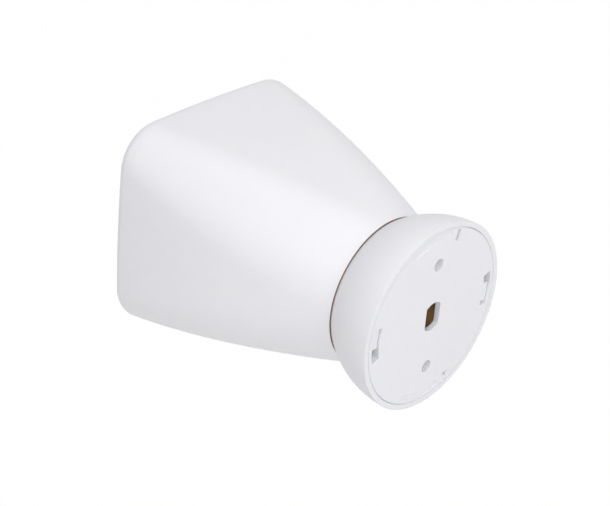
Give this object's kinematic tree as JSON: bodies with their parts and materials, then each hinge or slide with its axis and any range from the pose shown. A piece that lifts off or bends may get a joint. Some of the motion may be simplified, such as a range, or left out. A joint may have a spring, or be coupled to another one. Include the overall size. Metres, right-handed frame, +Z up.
{
  "type": "wall speaker",
  "caption": "Small tapered speaker head with a perforated front grille, tilting and turning on a domed base that twists off its wall plate",
  "frame": {"origin": "centre of the wall plate on the wall plane", "axes": "+Y points into the wall, the head points along -Y, +Z is up"},
  "size_m": [0.0644, 0.084, 0.0598],
  "materials": {
    "white_plastic": "satin white moulded plastic, fine texture",
    "brown_fibre": "brown pressed fibre",
    "bronze": "turned bronze, dull",
    "zinc_steel": "zinc-plated steel",
    "black_plastic": "matte black moulded plastic",
    "board": "brown phenolic board",
    "wadding": "bonded polyester wadding",
    "foam": "closed-cell foam",
    "black_steel": "black powder coat",
    "ferrite": "dark ferrite",
    "copper_coil": "copper wire on a former",
    "spider_cloth": "resin-treated cloth, amber",
    "cone_paper": "coated black paper cone",
    "rubber": "soft black rubber",
    "grille_cloth": "acoustic cloth",
    "grille_steel": "white powder-coated perforated steel"
  },
  "bodies": {
    "wall": {"wall_plate": "white_plastic"},
    "base": {"dome_base": "white_plastic", "friction_pad": "brown_fibre"},
    "carriage": {"friction_shoe": "zinc_steel", "wave_washer": "zinc_steel", "clamp_nut": "bronze", "pivot_stem": "bronze"},
    "head": {"seat_ring": "brown_fibre", "neck_cap": "white_plastic", "enclosure_shell": "white_plastic", "terminal_board": "board", "terminal_block": "black_plastic", "terminal_screws": "zinc_steel", "wadding": "wadding", "baffle_gasket": "foam", "baffle": "black_plastic", "baffle_screws": "zinc_steel", "driver_basket": "black_steel", "front_plate": "zinc_steel", "magnet": "ferrite", "back_plate": "zinc_steel", "voice_coil": "copper_coil", "spider": "spider_cloth", "cone": "cone_paper", "surround": "rubber", "dust_cap": "cone_paper", "driver_terminals": "board", "driver_screws": "zinc_steel", "grille_frame": "white_plastic", "grille_cloth": "grille_cloth", "grille": "grille_steel"}
  },
  "joints": [
    {"name": "base_twist", "type": "hinge", "parent": "wall", "child": "base", "pos_m": [0, 0, 0], "axis": [0, 1, 0], "range_deg": [0, 8]},
    {"name": "head_tilt", "type": "hinge", "parent": "base", "child": "carriage", "pos_m": [0, 0, 0], "axis": [1, 0, 0], "range_deg": [-18, 18]},
    {"name": "head_turn", "type": "hinge", "parent": "carriage", "child": "head", "pos_m": [0, 0, 0], "axis": [0, 1, 0], "range_deg": [-90, 90]}
  ]
}
